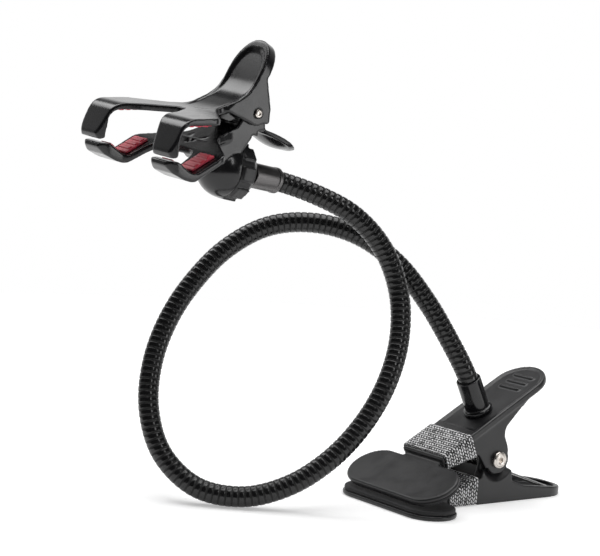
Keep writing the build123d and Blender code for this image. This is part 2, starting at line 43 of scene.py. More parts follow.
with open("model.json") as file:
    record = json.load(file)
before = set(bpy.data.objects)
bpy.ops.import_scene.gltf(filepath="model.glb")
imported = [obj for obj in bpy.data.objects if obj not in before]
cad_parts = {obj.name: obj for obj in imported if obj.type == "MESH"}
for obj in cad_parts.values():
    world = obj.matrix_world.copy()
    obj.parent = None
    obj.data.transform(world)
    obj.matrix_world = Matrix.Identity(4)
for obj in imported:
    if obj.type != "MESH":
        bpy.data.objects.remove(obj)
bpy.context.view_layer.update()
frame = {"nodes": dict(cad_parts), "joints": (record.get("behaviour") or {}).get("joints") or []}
axes = {joint["name"]: Vector(joint["axis"]).normalized() for joint in frame["joints"]}

MM = 0.001

# Camera
CAMERA_AT = (-0.7034, -0.7183, 0.2215)
CAMERA_AZIMUTH = math.radians(-38.4)
CAMERA_ELEVATION = math.radians(6.2)
CAMERA_ROLL = math.radians(4.5)
LENS_MM = 111.1

# Stage: a round pale floor, and a pale sweep behind the object in a dim room
FLOOR_RADIUS = 0.8
FLOOR_SIDES = 96
FLOOR_GREY = 0.82
FLOOR_ROUGHNESS = 0.9
FLOOR_LIFT = 0.36
ROOM_LIGHT = 0.05
SWEEP_LIGHT = 0.7
SWEEP_SIDE_FADE = (0.1, 0.7)
SWEEP_TOP_FADE = (0.35, 0.6)

# Lamps: one from above, and soft boxes as name, place, aim, size and watts
OVERHEAD_LIGHT = 2.4
OVERHEAD_SPREAD = math.radians(60)
OVERHEAD_AIM = (-0.08, -0.1, -1)
HEAD_PLACE = (-0.2, 0.04, 0.18)
NECK_PLACE = (-0.1, 0.02, 0.1)
SOFT_BOXES = [
    ("left_box", (-0.36, 0.83, 1.05), HEAD_PLACE, (0.5, 0.62), 3.9),
    ("right_box", (0.5, -0.82, 0.2), HEAD_PLACE, (0.3, 0.5), 1.5),
    ("front_strip", (-0.2, -0.95, 0.85), NECK_PLACE, (0.12, 0.5), 1.3),
]

# Finishes of plastic and rubber
MOULDED_FINISHES = {
    "clip_plastic": {"colour": (0.008, 0.008, 0.009), "roughness": 0.38},
    "pad_rubber": {
        "colour": (0.032, 0.032, 0.033), "roughness": 0.66, "spread": 0.02, "sheen": 0.25,
        "grain_size": 0.8 * MM, "grain_depth": 0.03 * MM,
    },
    "clamp_plastic": {
        "colour": (0.007, 0.007, 0.008), "roughness": 0.2, "spread": 0.03, "grain_depth": 0.003 * MM,
    },
    "nut_plastic": {"colour": (0.01, 0.01, 0.011), "roughness": 0.36},
    "gloss_black": {
        "colour": (0.006, 0.006, 0.007), "roughness": 0.12, "spread": 0.04,
        "grain_size": 2 * MM, "grain_depth": 0.004 * MM,
    },
    "red_rubber": {
        "colour": (0.8, 0.07, 0.115), "roughness": 0.4, "grain_size": 0.6 * MM, "grain_depth": 0.02 * MM,
    },
    "ball_black": {"colour": (0.01, 0.01, 0.011), "roughness": 0.25},
}
MOULDED_DRIFT = 0.08
MOULDED_PATCH = 9 * MM
GRAIN_STRENGTH = 0.5

# Finishes of metal
METAL_FINISHES = {
    "bolt_steel": {"colour": (0.6, 0.56, 0.52), "roughness": 0.24},
    "spring_steel": {"colour": (0.36, 0.36, 0.36), "roughness": 0.24, "spread": 0.03},
    "ferrule_grey": {"colour": (0.15, 0.145, 0.145), "roughness": 0.38, "brushed": 0.15},
}
METAL_DRIFT = 0.12
METAL_PATCH = 1.2 * MM

# Noise: the part of its range over which colour and gloss drift, and its detail
COLOUR_RANGE = (0.3, 0.7)
GLOSS_RANGE = (0.25, 0.75)
DRIFT_DETAIL = 3.0
GRAIN_DETAIL = 2.0

# Finish of the neck, from crest to groove; the darker groove colour is painted shade
NECK_CREST_BLACK = (0.007, 0.007, 0.0075)
NECK_GROOVE_PAINTED_SHADE = (0.002, 0.002, 0.002)
NECK_TONE_RANGE = (0.1, 0.85)
NECK_ROUGHNESS = (0.1, 0.7)
NECK_GROOVE_SHADE_AND_DULLING = 2.6
NECK_WEAR = 0.25
NECK_WEAR_SIZE = 1.5 * MM

# Finish of the bands, from the gaps to the silver stitches
STITCH_LENGTH = 2.0 * MM
STITCH_LEAN = 0.7
STITCH_LIGHT = 0.5
STITCH_CHANCE = 0.8
STITCH_BUMP = 0.7
STITCH_RELIEF = 0.25 * MM
WEAVE_BLACK = (0.01, 0.01, 0.011)
WEAVE_SILVER = (0.9, 0.9, 0.91)
WEAVE_TONE_RANGE = (0.34, 0.58)
WEAVE_ROUGHNESS = 0.55

# Neck
RIB_PITCH = 3.25 * MM
RIB_CREST = 5.45 * MM
RIB_GROOVE = 0.6 * MM
RIB_SHARPNESS = 6
STEPS_PER_RIB = 8
NECK_SIDES = 24
NECK_CORNER = 1.1 * RIB_PITCH
BASE_BEND_LENGTH = 95 * MM
TIP_BEND_LENGTH = 85 * MM

# Middle line of the neck in mm, from the clip to the head
NECK_ROUTE_STEP = 3
NECK_ROUTE = [
    (-6.1, 0, 53.9), (-12.8, 0, 66.2), (-23.5, 6.8, 87.4), (-35, 15.4, 107.8), (-48.8, 25.2, 126.1),
    (-65.8, 37.7, 139.2), (-85.8, 51.4, 144.4), (-106.9, 64.2, 141.1), (-126.4, 73, 128.6),
    (-143.2, 77.4, 110.7), (-157.4, 78.2, 90.3), (-167.9, 75.1, 67.9), (-173.3, 67.6, 44.8),
    (-171.5, 55.2, 23.4), (-160.2, 38.8, 8.8), (-141.7, 22.7, 6), (-121.5, 10.4, 13.4),
    (-102.5, 2.6, 27.4), (-85.8, -1.2, 45.5), (-72.5, -1.8, 66.6), (-62.2, 3, 89),
    (-58.5, 10.3, 111.4), (-65.3, 17.5, 133.9), (-80.5, 26.2, 151.2), (-98, 38.6, 160.9),
    (-116.3, 49.25, 166.6), (-130.2, 49, 168.7),
]

# Springs, with the radius of their wire
CLIP_WIRE = 1.1 * MM
JAW_WIRE = 0.75 * MM
SPRING_SIDES = 14

# Lengths on a spring, counted in radii of its wire
WIRE_CORNER = 1.6
WIRE_STEP = 0.5
WIRE_END = 2.2

# Moulded parts as node, body, finish, cell of the skin in mm and passes of rounding
MOULDED_PARTS = [
    ("clip_upper_lever", "clip_arm", "clip_plastic", 0.55, 6),
    ("clip_lower_lever", "clip_base", "clip_plastic", 0.55, 6),
    ("clip_upper_pad", "clip_arm", "pad_rubber", 0.5, 4),
    ("clip_lower_pad", "clip_base", "pad_rubber", 0.5, 4),
    ("upper_jaw", "phone_upper", "clamp_plastic", 0.42, 18),
    ("lower_jaw", "phone_lower", "clamp_plastic", 0.43, 16),
    ("lock_nut", "nut", "nut_plastic", 0.42, 4),
    ("clip_pivot_nut", "clip_base", "bolt_steel", 0.2, 3),
    ("ferrule_screw", "clip_arm", "bolt_steel", 0.2, 3),
]
GRIP_PADS = [
    ("lower_rear_pad", "phone_lower"),
    ("lower_tip_pad", "phone_lower"),
    ("upper_finger_pad", "phone_upper"),
]
GRIP_PAD_CELL = 0.27
GRIP_PAD_PASSES = 3
ROUNDING = 0.5
WELD = 0.004 * MM

# Turned parts
TURNED_SIDES = 72
CORNER_STEPS = 5
SHARP_EDGE = math.radians(38)

# Their profiles, as (radius, height, corner round) in mm from the low end
BASE_FERRULE = [
    (0, 0, 0), (8.05, 0, 0.3), (8.05, 2.6, 1.1), (6.75, 3.0, 0.4), (6.75, 20.7, 0.6), (5.5, 20.7, 0.2),
    (5.5, 6.7, 0), (0, 6.7, 0),
]
HEAD_FERRULE = [
    (3.41, 0, 0), (6.6, 0, 0.6), (6.6, 14.7, 0.1), (6.35, 14.9, 0.1), (6.85, 15.2, 0.15),
    (6.85, 17.3, 0.5), (5.5, 17.3, 0.2), (5.5, 3.0, 0), (3.41, 3.0, 0),
]
BALL_STUD = [
    (0, 0, 0), (5.66, 0, 0.2), (9.4, 4.4, 2.6), (9.4, 9.6, 2.6), (5.66, 14, 0.2), (3.4, 14, 0.4),
    (3.4, 23.75, 0), (5.1, 23.75, 0), (5.1, 25.15, 0), (0, 25.15, 0),
]
PIN_LENGTH = 30.4
PIN_HEAD = [
    (0, 0.8, 0), (0.9, 0.8, 0), (0.9, 0.1, 0.2), (1.3, 0, 0.2), (2.1, 0.2, 0.3), (2.2, 0.9, 0),
    (2.0, 0.9, 0),
]
PIN_TAIL = [(radius, PIN_LENGTH - height, back) for radius, height, back in reversed(PIN_HEAD)]
JAW_PIN = PIN_HEAD + PIN_TAIL
PIVOT_BOLT = [
    (0, 1.7, 0), (1.75, 1.7, 0), (1.75, 0.15, 0), (2.3, 0, 0.2), (3.2, 0.1, 0.1), (3.4, 0.35, 0.1),
    (3.6, 0.15, 0.1), (4.3, 0.45, 0.3), (4.7, 1.1, 0.3), (4.7, 2.5, 0.2), (2.5, 2.5, 0), (2.5, 37.7, 0),
    (2.0, 38.2, 0), (0, 38.2, 0),
]
BOLT_SOCKET_RINGS = 3

# Clip
PLATE_SLOPE = math.radians(28.5)
PLATE_RISE = Vector((-math.sin(PLATE_SLOPE), 0, math.cos(PLATE_SLOPE)))
FOOT_SLOPE = 0.0

# Bands
BAND_ROWS = 13
STATIONS_PER_ROW = 6
BAND_POINTS = 72
BAND_WALL = 1.12 * MM
BAND_CORNER = 1.9 * MM
BAND_CORNER_STEPS = 8
CORD_RELIEF = 0.16 * MM


def link(name, data):
    """New object in the scene."""
    holder = bpy.data.objects.new(name, data)
    bpy.context.scene.collection.objects.link(holder)
    return holder


def mesh_of(name, vertices, edges, faces):
    mesh = bpy.data.meshes.new(name)
    mesh.from_pydata([tuple(v) for v in vertices], edges, faces)
    mesh.update()
    return mesh


def applied(piece):
    """Turn the evaluated piece into a plain mesh and drop its modifiers."""
    bpy.context.view_layer.update()
    graph = bpy.context.evaluated_depsgraph_get()
    mesh = bpy.data.meshes.new_from_object(piece.evaluated_get(graph))
    piece.modifiers.clear()
    piece.data = mesh


def smooth_shaded(piece):
    piece.data.polygons.foreach_set("use_smooth", [True] * len(piece.data.polygons))


def facing_out(piece):
    grid = bmesh.new()
    grid.from_mesh(piece.data)
    bmesh.ops.recalc_face_normals(grid, faces=grid.faces)
    grid.to_mesh(piece.data)
    grid.free()


def welded_copy(node):
    """Mesh of a CAD node with its loose triangles merged."""
    mesh = frame["nodes"][node].data.copy()
    grid = bmesh.new()
    grid.from_mesh(mesh)
    bmesh.ops.remove_doubles(grid, verts=grid.verts, dist=WELD)
    grid.to_mesh(mesh)
    grid.free()
    return mesh


def dress(piece, slot):
    """Give a piece one finish all over."""
    piece.data.materials.clear()
    piece.data.materials.append(finishes[slot])


# Nodes that materials and trees share

def add(tree, kind, **values):
    """Node with the given input values, by input name."""
    node = tree.nodes.new(kind)
    for name, value in values.items():
        node.inputs[name.replace("_", " ")].default_value = value
    return node


def math_node(tree, operation, first, second=None):
    """Result of a calculation on numbers or on the outputs of other nodes."""
    node = tree.nodes.new("ShaderNodeMath")
    node.operation = operation
    for index, value in enumerate((first, second)):
        if value is None:
            continue
        if isinstance(value, (int, float)):
            node.inputs[index].default_value = value
        else:
            tree.links.new(value, node.inputs[index])
    return node.outputs[0]


def ranged(tree, value, source, target, easing="LINEAR"):
    """Value taken from a source range to a target range, and kept inside it."""
    node = add(
        tree, "ShaderNodeMapRange",
        From_Min=source[0], From_Max=source[1], To_Min=target[0], To_Max=target[1],
    )
    node.interpolation_type = easing
    tree.links.new(value, node.inputs["Value"])
    return node.outputs["Result"]


# Materials

def new_material(name):
    material = bpy.data.materials.new(name)
    material.use_nodes = True
    return material, material.node_tree, material.node_tree.nodes["Principled BSDF"]


def noise_on(tree, coords, size, detail):
    noise = add(tree, "ShaderNodeTexNoise", Scale=1 / size, Detail=detail)
    tree.links.new(coords, noise.inputs["Vector"])
    return noise.outputs["Fac"]


def two_tone(tree, shader, value, places, colours):
    """Base colour that goes from one colour to another as a value passes between two places."""
    ramp = tree.nodes.new("ShaderNodeValToRGB")
    for stop, place, colour in zip(ramp.color_ramp.elements, places, colours):
        stop.position = place
        stop.color = (*colour, 1)
    tree.links.new(value, ramp.inputs["Fac"])
    tree.links.new(ramp.outputs["Color"], shader.inputs["Base Color"])


def bumped(tree, shader, height, strength, depth):
    bump = add(tree, "ShaderNodeBump", Strength=strength, Distance=depth)
    tree.links.new(height, bump.inputs["Height"])
    tree.links.new(bump.outputs["Normal"], shader.inputs["Normal"])


def mottled(tree, shader, coords, colour, drift, patch):
    """Base colour that drifts by a share over the surface; gives the noise that it follows."""
    noise = noise_on(tree, coords, patch, DRIFT_DETAIL)
    low = [c * (1 - drift) for c in colour]
    high = [min(1, c * (1 + drift)) for c in colour]
    two_tone(tree, shader, noise, COLOUR_RANGE, (low, high))
    return noise


def uneven_gloss(tree, shader, noise, roughness, spread):
    gloss = ranged(tree, noise, GLOSS_RANGE, (roughness - spread, roughness + spread))
    tree.links.new(gloss, shader.inputs["Roughness"])


def moulded(name, colour, roughness, grain_size=0.5 * MM, grain_depth=0.01 * MM, spread=0.06, sheen=0.5):
    """Moulded plastic or rubber: nearly even colour, slightly uneven gloss, fine grain."""
    material, tree, shader = new_material(name)
    coords = tree.nodes.new("ShaderNodeTexCoord").outputs["Object"]
    noise = mottled(tree, shader, coords, colour, MOULDED_DRIFT, MOULDED_PATCH)
    uneven_gloss(tree, shader, noise, roughness, spread)
    bumped(tree, shader, noise_on(tree, coords, grain_size, GRAIN_DETAIL), GRAIN_STRENGTH, grain_depth)
    shader.inputs["Specular IOR Level"].default_value = sheen
    return material


def metal(name, colour, roughness, spread=0.07, brushed=0.0):
    """Metal with fine wear, which brushed stretches into streaks."""
    material, tree, shader = new_material(name)
    coords = tree.nodes.new("ShaderNodeTexCoord").outputs["Object"]
    if brushed:
        stretch = add(tree, "ShaderNodeMapping", Scale=(brushed, 1, 1))
        tree.links.new(coords, stretch.inputs["Vector"])
        coords = stretch.outputs["Vector"]
    noise = mottled(tree, shader, coords, colour, METAL_DRIFT, METAL_PATCH)
    uneven_gloss(tree, shader, noise, roughness, spread)
    shader.inputs["Metallic"].default_value = 1.0
    return material


def neck_coat():
    """Coated neck: satin black crests, grooves duller and darkened with painted shade."""
    material, tree, shader = new_material("neck_black")
    coords = tree.nodes.new("ShaderNodeTexCoord").outputs["Object"]
    groove = tree.nodes.new("ShaderNodeAttribute")
    groove.attribute_name = "groove"
    # Painted shade: the grooves get a darker colour, as well as more roughness
    groove_shade_and_dulling = math_node(tree, "MULTIPLY", groove.outputs["Fac"], NECK_GROOVE_SHADE_AND_DULLING)
    wear = noise_on(tree, coords, NECK_WEAR_SIZE, DRIFT_DETAIL)
    worn = math_node(tree, "MULTIPLY", wear, NECK_WEAR)
    depth = math_node(tree, "ADD", groove_shade_and_dulling, worn)
    two_tone(tree, shader, depth, NECK_TONE_RANGE, (NECK_CREST_BLACK, NECK_GROOVE_PAINTED_SHADE))
    tree.links.new(ranged(tree, depth, (0, 1), NECK_ROUGHNESS), shader.inputs["Roughness"])
    return material


def woven_elastic():
    """Elastic band: slanted silver stitches in rows on black."""
    material, tree, shader = new_material("woven_band")
    uv = tree.nodes.new("ShaderNodeUVMap")
    uv.uv_map = "weave"
    parts = tree.nodes.new("ShaderNodeSeparateXYZ")
    tree.links.new(uv.outputs["UV"], parts.inputs["Vector"])
    along, row = parts.outputs["X"], parts.outputs["Y"]
    row_index = math_node(tree, "FLOOR", row)
    across = math_node(tree, "FRACT", row)
    other_way = math_node(tree, "MULTIPLY", math_node(tree, "PINGPONG", row_index, 1), 2)
    slant = math_node(tree, "MULTIPLY", math_node(tree, "SUBTRACT", other_way, 1), across)
    shifted = math_node(tree, "ADD", along, math_node(tree, "MULTIPLY", slant, STITCH_LEAN))
    stitch = math_node(tree, "FRACT", shifted)
    cell = tree.nodes.new("ShaderNodeCombineXYZ")
    tree.links.new(math_node(tree, "FLOOR", shifted), cell.inputs["X"])
    tree.links.new(row_index, cell.inputs["Y"])
    chance = tree.nodes.new("ShaderNodeTexWhiteNoise")
    tree.links.new(cell.outputs["Vector"], chance.inputs["Vector"])
    body = math_node(tree, "SINE", math_node(tree, "MULTIPLY", stitch, math.pi))
    side = math_node(tree, "SINE", math_node(tree, "MULTIPLY", across, math.pi))
    bulge = math_node(tree, "MULTIPLY", body, side)
    extra = math_node(tree, "MULTIPLY", chance.outputs["Value"], STITCH_CHANCE)
    shine = math_node(tree, "MULTIPLY", bulge, math_node(tree, "ADD", extra, STITCH_LIGHT))
    two_tone(tree, shader, shine, WEAVE_TONE_RANGE, (WEAVE_BLACK, WEAVE_SILVER))
    bumped(tree, shader, bulge, STITCH_BUMP, STITCH_RELIEF)
    shader.inputs["Roughness"].default_value = WEAVE_ROUGHNESS
    return material


# Moulded parts

def softened(node, body, slot, cell, passes):
    """Moulded look for a CAD node: a copy with its edges rounded over."""
    piece = link(node + "_moulded", welded_copy(node))
    remesh = piece.modifiers.new("even_skin", "REMESH")
    remesh.mode = "VOXEL"
    remesh.voxel_size = cell * MM
    relax = piece.modifiers.new("rounded_edges", "SMOOTH")
    relax.factor = ROUNDING
    relax.iterations = passes
    applied(piece)
    smooth_shaded(piece)
    dress(piece, slot)
    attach(piece, body)
    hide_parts(node)


# Turned parts

def eased(points):
    """Profile of (radius, height) whose corners are rounded back by the third value of each point."""
    profile = []
    for i, (radius, height, back) in enumerate(points):
        corner = Vector((radius, height))
        if not back:
            profile.append(corner)
            continue
        before = Vector(points[i - 1][:2]) - corner
        after = Vector(points[(i + 1) % len(points)][:2]) - corner
        start = corner + before.normalized() * back
        end = corner + after.normalized() * back
        for k in range(CORNER_STEPS + 1):
            f = k / CORNER_STEPS
            profile.append(start * (1 - f) ** 2 + corner * (2 * f * (1 - f)) + end * f ** 2)
    return profile


def turned(name, points, middle, axis, socket_rings):
    """Turned piece: points are (radius, height, corner round) in mm along an axis through middle.

    A profile that starts on the axis is closed there, any other is closed on itself.
    The first socket_rings rings are hexagons.
    """
    side = axis.orthogonal().normalized()
    other = axis.cross(side)
    vertices = []
    rings = []
    for index, (radius, height) in enumerate(eased(points)):
        centre = middle + axis * (height * MM)
        if radius == 0:
            rings.append([len(vertices)] * TURNED_SIDES)
            vertices.append(centre)
            continue
        rings.append(list(range(len(vertices), len(vertices) + TURNED_SIDES)))
        for i in range(TURNED_SIDES):
            angle = 2 * math.pi * i / TURNED_SIDES
            reach = radius * MM
            if index < socket_rings:
                reach *= math.cos(math.pi / 6) / math.cos(angle % (math.pi / 3) - math.pi / 6)
            spoke = side * (reach * math.cos(angle)) + other * (reach * math.sin(angle))
            vertices.append(centre + spoke)
    if points[0][0] > 0:
        rings.append(rings[0])
    faces = []
    for low, high in zip(rings, rings[1:]):
        for i in range(TURNED_SIDES):
            j = (i + 1) % TURNED_SIDES
            faces.append(list(dict.fromkeys((low[i], low[j], high[j], high[i]))))
    piece = link(name, mesh_of(name, vertices, [], faces))
    facing_out(piece)
    smooth_shaded(piece)
    piece.data.set_sharp_from_angle(angle=SHARP_EDGE)
    return piece


def span(node, axis):
    """Middle of a node across an axis, and its lowest place along it in mm."""
    spots = np.array([v.co for v in frame["nodes"][node].data.vertices])
    middle = Vector()
    for direction in (axis.orthogonal().normalized(), axis.cross(axis.orthogonal()).normalized()):
        reach = spots @ np.array(direction)
        middle += direction * float((reach.min() + reach.max()) / 2)
    return middle, float((spots @ np.array(axis)).min()) / MM


def lathe_part(node, body, slot, axis, points, socket_rings=0):
    """Turned look for a CAD node; heights in points start at the node's low end."""
    middle, low = span(node, axis)
    raised = [(radius, low + height, back) for radius, height, back in points]
    piece = turned(node + "_turned", raised, middle, axis, socket_rings)
    dress(piece, slot)
    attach(piece, body)
    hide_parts(node)


# Geometry trees of the neck and the springs

def new_tree(name, inputs):
    """Empty geometry tree with a geometry input, named float inputs and a material input."""
    tree = bpy.data.node_groups.new(name, "GeometryNodeTree")
    tree.interface.new_socket("Geometry", in_out="INPUT", socket_type="NodeSocketGeometry")
    for label in inputs:
        tree.interface.new_socket(label, in_out="INPUT", socket_type="NodeSocketFloat")
    tree.interface.new_socket("Material", in_out="INPUT", socket_type="NodeSocketMaterial")
    tree.interface.new_socket("Geometry", in_out="OUTPUT", socket_type="NodeSocketGeometry")
    return tree, tree.nodes.new("NodeGroupInput").outputs, tree.nodes.new("NodeGroupOutput").inputs


def use_tree(piece, tree, values):
    """Run a tree with the given input values and keep its result as the piece's mesh."""
    modifier = piece.modifiers.new(tree.name, "NODES")
    modifier.node_group = tree
    for socket in tree.interface.items_tree:
        if socket.in_out == "INPUT" and socket.name in values:
            modifier[socket.identifier] = values[socket.name]
    applied(piece)


def eased_line(tree, mesh, corner, step):
    """Curve along a line of edges, its corners eased over a length, with even steps."""
    line = tree.nodes.new("GeometryNodeMeshToCurve")
    coarse = tree.nodes.new("GeometryNodeResampleCurve")
    coarse.mode = "LENGTH"
    bend = tree.nodes.new("GeometryNodeCurveSplineType")
    bend.spline_type = "CATMULL_ROM"
    even = tree.nodes.new("GeometryNodeResampleCurve")
    even.mode = "LENGTH"
    tree.links.new(mesh, line.inputs["Mesh"])
    tree.links.new(line.outputs["Curve"], coarse.inputs["Curve"])
    tree.links.new(corner, coarse.inputs["Length"])
    tree.links.new(coarse.outputs["Curve"], bend.inputs["Curve"])
    tree.links.new(bend.outputs["Curve"], even.inputs["Curve"])
    tree.links.new(step, even.inputs["Length"])
    return even.outputs["Curve"]


def stored(tree, geometry, name, value):
    """Geometry that carries a value at each point, by name."""
    keep = add(tree, "GeometryNodeStoreNamedAttribute", Name=name)
    keep.data_type = "FLOAT"
    keep.domain = "POINT"
    tree.links.new(geometry, keep.inputs["Geometry"])
    tree.links.new(value, keep.inputs["Value"])
    return keep.outputs["Geometry"]


def tube_on(tree, curve, sides, scale):
    """Closed tube round a curve, whose radius is a field."""
    ring = add(tree, "GeometryNodeCurvePrimitiveCircle", Resolution=sides, Radius=1.0)
    skin = add(tree, "GeometryNodeCurveToMesh", Fill_Caps=True)
    tree.links.new(curve, skin.inputs["Curve"])
    tree.links.new(ring.outputs["Curve"], skin.inputs["Profile Curve"])
    tree.links.new(scale, skin.inputs["Scale"])
    return skin.outputs["Mesh"]


def close_tree(tree, geometry, material, output):
    """Smooth shading, real geometry and material at the end of a tree."""
    shade = tree.nodes.new("GeometryNodeSetShadeSmooth")
    real = tree.nodes.new("GeometryNodeRealizeInstances")
    coat = tree.nodes.new("GeometryNodeSetMaterial")
    tree.links.new(geometry, shade.inputs["Geometry"])
    tree.links.new(shade.outputs["Geometry"], real.inputs["Geometry"])
    tree.links.new(real.outputs["Geometry"], coat.inputs["Geometry"])
    tree.links.new(material, coat.inputs["Material"])
    tree.links.new(coat.outputs["Geometry"], output)


def ribbed_neck_tree():
    """Ribbed tube: rounded ribs of one pitch along a line."""
    tree, given, result = new_tree("ribbed_neck", ["Pitch", "Crest", "Groove", "Corner", "Step"])
    curve = eased_line(tree, given["Geometry"], given["Corner"], given["Step"])
    place = tree.nodes.new("GeometryNodeSplineParameter").outputs["Length"]
    curve = stored(tree, curve, "along", place)
    phase = math_node(tree, "FRACT", math_node(tree, "DIVIDE", place, given["Pitch"]))
    centred = math_node(tree, "SUBTRACT", math_node(tree, "MULTIPLY", phase, 2), 1)
    from_crest = math_node(tree, "ABSOLUTE", centred)
    dip = math_node(tree, "POWER", from_crest, RIB_SHARPNESS)
    curve = stored(tree, curve, "groove", dip)
    cut = math_node(tree, "MULTIPLY", dip, given["Groove"])
    radius = math_node(tree, "SUBTRACT", given["Crest"], cut)
    close_tree(tree, tube_on(tree, curve, NECK_SIDES, radius), given["Material"], result["Geometry"])
    return tree


def spring_tree():
    """Round wire along a line whose corners are eased."""
    tree, given, result = new_tree("spring_wire", ["Wire", "Corner", "Step"])
    curve = eased_line(tree, given["Geometry"], given["Corner"], given["Step"])
    wire = tube_on(tree, curve, SPRING_SIDES, given["Wire"])
    close_tree(tree, wire, given["Material"], result["Geometry"])
    return tree


def line_object(name, points):
    """Object with a row of edges through some points."""
    edges = [(i, i + 1) for i in range(len(points) - 1)]
    return link(name, mesh_of(name, points, edges, []))


# Springs

def ring_walk(ring):
    """Centres of the rings of a tube's mesh, one after another from an end ring."""
    seen = set(ring)
    centres = []
    while ring:
        centres.append(sum((v.co for v in ring), Vector()) / len(ring))
        following = {e.other_vert(v) for v in ring for e in v.link_edges} - seen
        seen |= following
        ring = following
    return centres


def spring_centres(node, wire):
    """Ring centres of a CAD spring, from the end that lies furthest from its coil."""
    grid = bmesh.new()
    grid.from_mesh(welded_copy(node))
    coil = sum((v.co for v in grid.verts), Vector()) / len(grid.verts)
    far = max(grid.verts, key=lambda v: (v.co - coil).length)
    centres = ring_walk({v for v in grid.verts if (v.co - far.co).length < WIRE_END * wire})
    grid.free()
    return centres


def wound_spring(node, pin, hinge, wire, tree):
    """Torsion spring on a pin: a round wire through the CAD spring's ring centres, left where it lies."""
    row = spring_centres(node, wire)
    piece = line_object(node + "_wound", row)
    use_tree(piece, tree, {
        "Wire": wire, "Corner": WIRE_CORNER * wire, "Step": WIRE_STEP * wire,
        "Material": finishes["spring_steel"],
    })
    axis = axes[hinge]
    low_end, high_end = sorted((row[0], row[-1]), key=lambda spot: spot.z)
    rise = high_end - low_end
    rise = (rise - axis * rise.dot(axis)).normalized()
    middle = span(pin, axis)[0] + axis * axis.dot(low_end.lerp(high_end, 0.5))
    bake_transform(piece)
    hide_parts(node)


# Neck

def smooth_row(points, step):
    """Smooth row of places through some points, about a step apart."""
    spots = np.array(points, dtype=float)
    gaps = np.linalg.norm(np.diff(spots, axis=0), axis=1)[:, None]
    slopes = np.diff(spots, axis=0) / gaps
    inner = (slopes[:-1] * gaps[1:] + slopes[1:] * gaps[:-1]) / (gaps[:-1] + gaps[1:])
    headings = np.vstack([slopes[:1], inner, slopes[-1:]])
    row = []
    for i, gap in enumerate(gaps[:, 0]):
        count = max(1, round(gap / step))
        for k in range(count):
            t = k / count
            stay = (1 + 2 * t) * (1 - t) ** 2
            bend = t * (1 - t) * gap
            row.append(stay * spots[i] + (1 - stay) * spots[i + 1]
                       + bend * ((1 - t) * headings[i] - t * headings[i + 1]))
    return row + [spots[-1]]


def stretch_of(whole, name, low, high):
    """Part of the neck between two distances along it."""
    piece = link(name, whole.data.copy())
    along = [a.value for a in piece.data.attributes["along"].data]
    grid = bmesh.new()
    grid.from_mesh(piece.data)
    grid.verts.ensure_lookup_table()
    away = []
    for face in grid.faces:
        middle = sum(along[v.index] for v in face.verts) / len(face.verts)
        if not low <= middle < high:
            away.append(face)
    bmesh.ops.delete(grid, geom=away, context="FACES")
    grid.to_mesh(piece.data)
    grid.free()
    return piece


def ribbed_neck():
    """Neck in three runs: the loop in the middle goes with the neck's body, the outer two stay where they
    lie.
    """
    whole = line_object("neck_line", [spot * MM for spot in smooth_row(NECK_ROUTE, NECK_ROUTE_STEP)])
    use_tree(whole, ribbed_neck_tree(), {
        "Pitch": RIB_PITCH, "Crest": RIB_CREST, "Groove": RIB_GROOVE, "Corner": NECK_CORNER,
        "Step": RIB_PITCH / STEPS_PER_RIB, "Material": finishes["neck_black"],
    })
    along = np.array([a.value for a in whole.data.attributes["along"].data])
    length = along.max()

    tip_start = length - TIP_BEND_LENGTH
    base = stretch_of(whole, "neck_base_run", -math.inf, BASE_BEND_LENGTH)
    loop = stretch_of(whole, "neck_loop_run", BASE_BEND_LENGTH, tip_start)
    tip = stretch_of(whole, "neck_tip_run", tip_start, math.inf)
    bpy.data.objects.remove(whole)
    for run in (base, loop, tip):
        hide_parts("gooseneck")
    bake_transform(base)
    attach(loop, "neck")
    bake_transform(tip)


# Bands

def band_corners(node, slope):
    """Four corners of a band seen from the side: front low, front high, rear low, rear high."""
    along = np.array((math.cos(slope), math.sin(slope)))
    lift = np.array((-math.sin(slope), math.cos(slope)))
    spots = np.array([(v.co.x, v.co.z) for v in frame["nodes"][node].data.vertices])
    place, height = spots @ along, spots @ lift
    picks = [np.argmin(place + height), np.argmin(place - height)]
    picks += [np.argmax(place - height), np.argmax(place + height)]
    return [Vector((spots[i][0], 0, spots[i][1])) for i in picks]


def rounded_path(half, height, corner):
    """Points round an upright rectangle with rounded corners, its base at zero."""
    path = []
    for y, top, start in ((half, True, 0), (-half, True, 90), (-half, False, 180), (half, False, 270)):
        middle_y = y - math.copysign(corner, y)
        middle_z = height - corner if top else corner
        for i in range(BAND_CORNER_STEPS + 1):
            angle = math.radians(start + 90 * i / BAND_CORNER_STEPS)
            path.append((middle_y + corner * math.cos(angle), middle_z + corner * math.sin(angle)))
    return path


def evenly_spaced(path):
    """The same closed path with as many even points as a band has."""
    closed = path + path[:1]
    reach = np.cumsum([0] + [math.dist(a, b) for a, b in zip(closed, closed[1:])])
    at = np.arange(BAND_POINTS) * reach[-1] / BAND_POINTS
    ys = np.interp(at, reach, [p[0] for p in closed])
    zs = np.interp(at, reach, [p[1] for p in closed])
    return list(zip(ys.tolist(), zs.tolist()))


def band_ring(corners, share, half, inset, corner):
    """One turn of a band, a share of the way from its front edge to its rear edge."""
    front_low, front_high, rear_low, rear_high = corners
    low = front_low.lerp(rear_low, share)
    high = front_high.lerp(rear_high, share)
    up = (high - low).normalized()
    path = rounded_path(half - inset, (high - low).length - 2 * inset, corner)
    return [low + up * (z + inset) + Vector((0, y, 0)) for y, z in evenly_spaced(path)]


